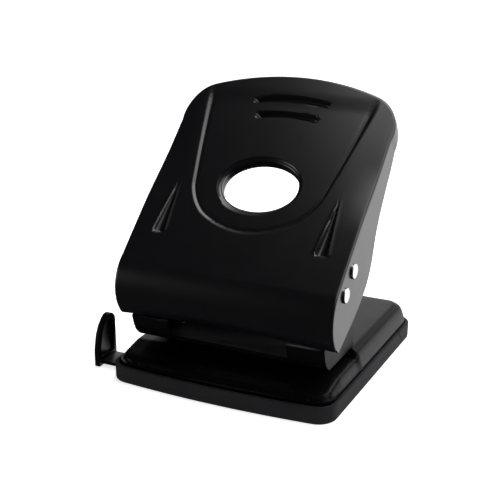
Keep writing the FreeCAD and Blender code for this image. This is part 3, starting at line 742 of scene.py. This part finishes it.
def make_tray(material):
    """Moulded chip tray with a latch cut free in its wall and a channel for the guide."""
    loops = [rounded_loop(TRAY_HALF - inset, TRAY_FRONT - inset, TRAY_BACK - inset,
                          BASE_CORNER - inset, BOW, level) for inset, level in tray_section()]
    tray = loft("tray_moulding", loops, material)
    face_outwards(tray)
    carve(tray, block((-63.0, GUIDE_FRONT, 1.15), (-57.0, GUIDE_BACK, 3.65)))
    # slanted saw cuts either side of the latch
    for back in (LATCH_FRONT, LATCH_BACK):
        cutter = block((TRAY_HALF - SAW_DEPTH, back, 2.8), (TRAY_HALF + 1.0, back + SAW_CUT, 9.6))
        for vertex in cutter.data.vertices:
            if vertex.co.z < 5.0 * MM:
                vertex.co.y += SAW_LEAN * MM
        carve(tray, cutter)
    # guide channel: two ribs on the floor
    for start in (GUIDE_FRONT - RIB, GUIDE_BACK):
        rib = block((-59.0, start, 0.6), (48.0, start + RIB, RIB_TOP))
        carve(tray, rib, "UNION")
    shade_by_angle(tray, 35)
    return fitted(tray, "tray", "tray")


# ---------------------------------------------------------------- springs and rivets

def new_tree(name, inputs):
    """Geometry tree with named inputs, each given as label: socket kind."""
    tree = bpy.data.node_groups.new(name, "GeometryNodeTree")
    tree.interface.new_socket("Geometry", in_out="OUTPUT", socket_type="NodeSocketGeometry")
    for label, kind in inputs.items():
        tree.interface.new_socket(label, in_out="INPUT", socket_type=f"NodeSocket{kind}")
    return tree, tree.nodes.new("NodeGroupInput").outputs


def finish_tree(tree, geometry, material):
    """Smooth shading, one material and real geometry at the end of a tree."""
    smooth = add(tree, "GeometryNodeSetShadeSmooth", {"Geometry": geometry})
    painted = add(tree, "GeometryNodeSetMaterial",
                  {"Geometry": smooth.outputs["Geometry"], "Material": material})
    real = add(tree, "GeometryNodeRealizeInstances", {"Geometry": painted.outputs["Geometry"]})
    out = tree.nodes.new("NodeGroupOutput")
    tree.links.new(real.outputs["Geometry"], out.inputs["Geometry"])


def grow(name, tree, values):
    """Plain mesh from a tree whose inputs are set by their identifiers."""
    obj = bpy.data.objects.new(name, bpy.data.meshes.new(name))
    bpy.context.scene.collection.objects.link(obj)
    modifier = obj.modifiers.new("grown", "NODES")
    modifier.node_group = tree
    for item in tree.interface.items_tree:
        if item.in_out == "INPUT":
            modifier[item.identifier] = values[item.name]
    return apply_modifiers(obj)


# return spring: its foot and top, wire and coil radius, turns, and how far the ends close up
SPRING_LOW, SPRING_HIGH, SPRING_WIRE, SPRING_RADIUS = 22.2, 44.2, 0.6, 4.7
SPRING_TURNS, SPRING_CLOSING, SPRING_KEEP = 7.0, 0.085, 0.67
FOOT_TOP, RIVET_GRIP, RIVET_PITCH, RIVET_Y, RIVET_STARTS = 22.2, 3.5, 20.0, -2.5, (-31.0, 11.0)
RIVET_SHANK, RIVET_HEAD, RIVET_CLOSING = 2.0, (3.5, 3.5, 1.6), (3.2, 3.2, 1.2)


def in_metres(values):
    """The same place or size, from millimetres to metres."""
    return tuple(v * MM for v in values)


def coil_tree():
    """A wire coil whose end turns lie closer together than the middle ones."""
    tree, given = new_tree("coil", {
        "Turns": "Float", "Radius": "Float", "Wire Radius": "Float", "Height": "Float",
        "Closing": "Float", "Foot": "Vector", "Material": "Material"})
    spiral = add(tree, "GeometryNodeCurveSpiral", {
        "Rotations": given["Turns"], "Start Radius": given["Radius"],
        "End Radius": given["Radius"], "Height": given["Height"]}, Resolution=44)
    spot = add(tree, "ShaderNodeSeparateXYZ",
               {"Vector": add(tree, "GeometryNodeInputPosition").outputs["Position"]})
    part = add(tree, "ShaderNodeMath", {0: spot.outputs["Z"], 1: given["Height"]},
               operation="DIVIDE").outputs[0]
    turn = add(tree, "ShaderNodeMath", {0: part}, operation="MULTIPLY")
    turn.inputs[1].default_value = 2 * math.pi
    wave = add(tree, "ShaderNodeMath", {0: turn.outputs[0]}, operation="SINE").outputs[0]
    pull = add(tree, "ShaderNodeMath", {0: wave, 1: given["Closing"]},
               operation="MULTIPLY").outputs[0]
    drop = add(tree, "ShaderNodeMath", {0: pull, 1: given["Height"]},
               operation="MULTIPLY").outputs[0]
    level = add(tree, "ShaderNodeMath", {0: spot.outputs["Z"], 1: drop},
                operation="SUBTRACT").outputs[0]
    place = add(tree, "ShaderNodeCombineXYZ",
                {"X": spot.outputs["X"], "Y": spot.outputs["Y"], "Z": level})
    closed = add(tree, "GeometryNodeSetPosition",
                 {"Geometry": spiral.outputs["Curve"], "Position": place.outputs["Vector"]})
    section = add(tree, "GeometryNodeCurvePrimitiveCircle",
                  {"Radius": given["Wire Radius"]}, Resolution=12)
    wire = add(tree, "GeometryNodeCurveToMesh",
               {"Curve": closed.outputs["Geometry"],
                "Profile Curve": section.outputs["Curve"]}, Fill_Caps=True)
    stood = add(tree, "GeometryNodeTransform",
                {"Geometry": wire.outputs["Mesh"], "Translation": given["Foot"]})
    finish_tree(tree, stood.outputs["Geometry"], given["Material"])
    return tree


def make_spring(tree, side, word):
    """Return spring of a pin, standing on the frame."""
    x = side * PUNCH_X
    spring = grow(f"spring_{word}_coil", tree, {
        "Turns": SPRING_TURNS, "Radius": SPRING_RADIUS * MM, "Wire Radius": SPRING_WIRE * MM,
        "Height": (SPRING_HIGH - SPRING_LOW - 2 * SPRING_WIRE) * MM, "Closing": SPRING_CLOSING,
        "Foot": in_metres((x, PUNCH_Y, SPRING_LOW + SPRING_WIRE)),
        "Material": FINISHES["spring_steel"]})
    face_outwards(spring)
    fitted(spring, "base", f"spring_{word}")
    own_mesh(spring)
    return spring


def rivet_tree():
    """A row of rivets: domed head, shank and flatter closing head."""
    tree, given = new_tree("rivet_row", {
        "Count": "Int", "First": "Vector", "Pitch": "Vector", "Head Size": "Vector",
        "Closing Size": "Vector", "Grip": "Float", "Shank Radius": "Float",
        "Material": "Material"})
    head = add(tree, "GeometryNodeMeshUVSphere", Segments=40, Rings=20, Radius=1.0)
    dome = add(tree, "GeometryNodeTransform",
               {"Geometry": head.outputs["Mesh"], "Scale": given["Head Size"]})
    down = add(tree, "ShaderNodeMath", {0: given["Grip"]}, operation="MULTIPLY")
    down.inputs[1].default_value = -1.0
    under = add(tree, "ShaderNodeCombineXYZ", {"Z": down.outputs[0]})
    closing = add(tree, "GeometryNodeTransform",
                  {"Geometry": head.outputs["Mesh"], "Scale": given["Closing Size"],
                   "Translation": under.outputs["Vector"]})
    half = add(tree, "ShaderNodeMath", {0: given["Grip"]}, operation="MULTIPLY")
    half.inputs[1].default_value = -0.5
    middle = add(tree, "ShaderNodeCombineXYZ", {"Z": half.outputs[0]})
    shank = add(tree, "GeometryNodeMeshCylinder",
                {"Radius": given["Shank Radius"], "Depth": given["Grip"]}, Vertices=32)
    stem = add(tree, "GeometryNodeTransform",
               {"Geometry": shank.outputs["Mesh"], "Translation": middle.outputs["Vector"]})
    rivet = tree.nodes.new("GeometryNodeJoinGeometry")
    for piece in (dome, closing, stem):
        tree.links.new(piece.outputs["Geometry"], rivet.inputs["Geometry"])
    row = add(tree, "GeometryNodeMeshLine", {
        "Count": given["Count"], "Start Location": given["First"], "Offset": given["Pitch"]})
    placed = add(tree, "GeometryNodeInstanceOnPoints",
                 {"Points": row.outputs["Mesh"], "Instance": rivet.outputs["Geometry"]})
    finish_tree(tree, placed.outputs["Instances"], given["Material"])
    return tree


def make_rivets():
    """The rivets that hold the frame on the deck: an outer and an inner one on each side."""
    tree = rivet_tree()
    pieces = [grow("bracket_rivet_row", tree, {
        "Count": 2, "First": in_metres((first, RIVET_Y, FOOT_TOP)),
        "Pitch": in_metres((RIVET_PITCH, 0.0, 0.0)), "Head Size": in_metres(RIVET_HEAD),
        "Closing Size": in_metres(RIVET_CLOSING), "Grip": RIVET_GRIP * MM,
        "Shank Radius": RIVET_SHANK * MM, "Material": FINISHES["bright_steel"]})
        for first in RIVET_STARTS]
    rivets = pieces[0]
    mesh = bmesh.new()
    for piece in pieces:
        mesh.from_mesh(piece.data)
    mesh.to_mesh(rivets.data)
    mesh.free()
    bpy.data.objects.remove(pieces[1])
    face_outwards(rivets)
    return fitted(rivets, "base", "bracket_rivets")


# ---------------------------------------------------------------- studio

# bright patches of the wall behind: the way to each, where it starts and is full, its gain;
# the right flange mirrors the first, the deck mirrors the second
WALL_PATCHES = [((0.60, 0.80, -0.15), 0.80, 0.97, 1.90), ((-0.15, 0.95, 0.25), 0.80, 0.97, 1.50)]
WALL_DIM, FLOOR_GLOW, FLOOR_HALF = 0.025, 0.75, 4000.0


def make_studio():
    """Pale floor that glows a little, and dim walls with the bright patches."""
    floor_material, tree, place = new_material("pale_paper_sweep")
    finish_shader(tree, tint(tree, grain(tree, place, 90.0), "#F4F4F3", "#F8F8F8"),
                  between(tree, grain(tree, place, 3.0), 0.85, 0.95),
                  Emission_Color=srgb("#FFFFFF"), Emission_Strength=FLOOR_GLOW)
    h = FLOOR_HALF
    corners = [(-h, -h, 0), (h, -h, 0), (h, h, 0), (-h, h, 0)]
    floor = make_object("floor", corners, [(0, 1, 2, 3)], floor_material, False)
    floor.visible_glossy = False

    world = bpy.data.worlds.new("studio_walls")
    bpy.context.scene.world = world
    world.use_nodes = True
    tree = world.node_tree
    tree.nodes.clear()
    way = add(tree, "ShaderNodeTexCoord").outputs["Generated"]
    glow = add(tree, "ShaderNodeValue").outputs[0]
    glow.default_value = WALL_DIM
    for aim, low, high, gain in WALL_PATCHES:
        facing = add(tree, "ShaderNodeVectorMath", {0: way}, operation="DOT_PRODUCT")
        facing.inputs[1].default_value = Vector(aim).normalized()
        lobe = add(tree, "ShaderNodeMapRange", {"Value": facing.outputs["Value"]},
                   interpolation_type="SMOOTHSTEP",
                   From_Min=low, From_Max=high, To_Min=0.0, To_Max=gain)
        glow = add(tree, "ShaderNodeMath", {0: glow, 1: lobe.outputs["Result"]},
                   operation="ADD").outputs[0]
    sky = add(tree, "ShaderNodeBackground", {"Strength": glow}, Color=(1, 1, 1, 1))
    add(tree, "ShaderNodeOutputWorld", {"Surface": sky.outputs["Background"]})


def add_softbox(name, place, aim, side, watts):
    """Square soft light that itself stays out of the picture."""
    light = bpy.data.lights.new(name, "AREA")
    light.shape = "SQUARE"
    light.size = side
    light.energy = watts
    obj = bpy.data.objects.new(name, light)
    obj.location = place
    obj.rotation_euler = (Vector(aim) - Vector(place)).to_track_quat("-Z", "Y").to_euler()
    obj.visible_camera = False
    bpy.context.scene.collection.objects.link(obj)
    return obj


def make_camera():
    """Camera in front, to the right and a little above."""
    azimuth, elevation = math.radians(25.58), math.radians(18.92)
    camera = bpy.data.cameras.new("camera")
    camera.lens = 77.97
    camera.sensor_width = 36.0
    camera.clip_end = 50.0
    obj = bpy.data.objects.new("camera", camera)
    obj.location = (0.2209, -0.48319, 0.2417)
    obj.rotation_euler = (math.pi / 2 - elevation, 0.0, azimuth)
    bpy.context.scene.collection.objects.link(obj)
    bpy.context.scene.camera = obj
    bpy.context.scene.view_settings.view_transform = "Standard"


# ---------------------------------------------------------------- assembly

def make_finishes():
    """One material for each finish slot."""
    finishes = {}
    # polyester powder coat, sprayed and baked: semi-gloss black, its broad highlights just
    # broken up by orange peel about 0.9 mm across
    finishes["handle_steel"] = powder_coat(
        "handle_powder_coat", "#08080B", "#09090C", 0.28, 0.30, 0.9)
    # stove enamel, dipped and drained: a flatter skin with peel of 1.4 mm and little sheen
    finishes["base_steel"] = powder_coat(
        "base_stove_enamel", "#09090B", "#0C0C0E", 0.22, 0.30, 1.4, 0.06)
    # satin enamel, sprayed on the folded frame: duller, so the frame stays a dark shape
    finishes["frame_steel"] = powder_coat(
        "frame_satin_enamel", "#050506", "#070708", 0.42, 0.50, 1.2, 0.12)
    # ABS from a spark-eroded mould: the grain turns the black to a matt dark grey; it is
    # under 0.1 mm in life and drawn at 0.5 mm so that it shows
    finishes["tray_plastic"] = moulded_plastic(
        "tray_grained_abs", "#1F1F21", "#242426", 0.52, 0.60, 0.5, 0.16, 0.05)
    # ABS from a polished mould: deep black with a soft gloss, its flow marks 0.7 mm apart
    finishes["guide_plastic"] = moulded_plastic(
        "guide_polished_abs", "#08080A", "#0A0A0C", 0.26, 0.34, 0.7, 0.05, 0.12)
    # bright nickel plate on headed shafts and rivets: white highlights, barely any texture
    finishes["bright_steel"] = bright_metal(
        "nickel_plate", "#C9C9CB", "#D8D8DA", 0.18, 0.30, 1.2, (1, 1, 1))
    # hardened tool steel, ground while it turns: fine lines round an upright pin; they are
    # a few hundredths of a millimetre apart in life and drawn at 0.13 mm so that they show
    finishes["tool_steel"] = bright_metal(
        "ground_tool_steel", "#9C9C9F", "#B4B4B6", 0.22, 0.38, 0.8, (1, 1, 6))
    # hard-drawn wire in a dark grey that is painted shade, so the coil under the handle stays
    # dim; a narrow glint along each turn
    finishes["spring_steel"] = bright_metal(
        "spring_wire_painted_shade", "#4C4C50", "#626266", 0.25, 0.40, 0.8, (1, 1, 1))
    # drawn tube, cut to length and zinc plated: pale grey and a little dull, with faint
    # lines round it, drawn at 0.17 mm, coarser than a saw and plating leave them
    finishes["sleeve_steel"] = bright_metal(
        "zinc_tube", "#A6A8AA", "#BFC1C2", 0.28, 0.42, 1.0, (6, 1, 1))
    return finishes


def dress_pieces():
    """Make every finished piece: body, slot and the easing of its edges in millimetres."""
    make_handle(FINISHES["handle_steel"])
    make_base(FINISHES["base_steel"])
    make_tray(FINISHES["tray_plastic"])
    make_rivets()
    eased_copy("bracket", "base", "frame_steel", 0.5)
    eased_copy("upper_guide", "base", "frame_steel", 0.4)
    for axis in ("pivot", "drive"):
        flatten_heads(eased_copy(f"{axis}_shaft", "handle", "bright_steel", 0.3), SHAFTS[axis])
    eased_copy("paper_guide", "guide", "guide_plastic", 0.4)
    coil = coil_tree()
    for word, side in (("left", -1), ("right", 1)):
        make_spring(coil, side, word)
        eased_copy(f"die_{word}", "base", "tool_steel", 0.1)
        eased_copy(f"punch_pin_{word}", f"punch_{word}", "tool_steel", 0.1)
        eased_copy(f"yoke_{word}", f"punch_{word}", "tool_steel", 0.35)
        eased_copy(f"collar_{word}", f"punch_{word}", "tool_steel", 0.2)
        eased_copy(f"pivot_spacer_{word}", "handle", "sleeve_steel", 0.2)
        eased_copy(f"drive_spacer_{word}", "handle", "sleeve_steel", 0.2)


FINISHES = make_finishes()
dress_pieces()
make_studio()
add_softbox("overhead_softbox", (0.17, 0.24, 0.63), (0.17, 0.24, 0.0), 0.62, 3.8)
add_softbox("high_softbox", (0.3, 0.9, 1.8), (0, 0.2, 0.0), 1.6, 12.0)
add_softbox("right_softbox", (1.2, 0.0, 0.9), (0, 0, 0.0), 0.8, 6.0)
add_softbox("left_softbox", (-1.3, -0.9, 0.35), (0, 0, 0.0), 0.6, 4.0)
make_camera()
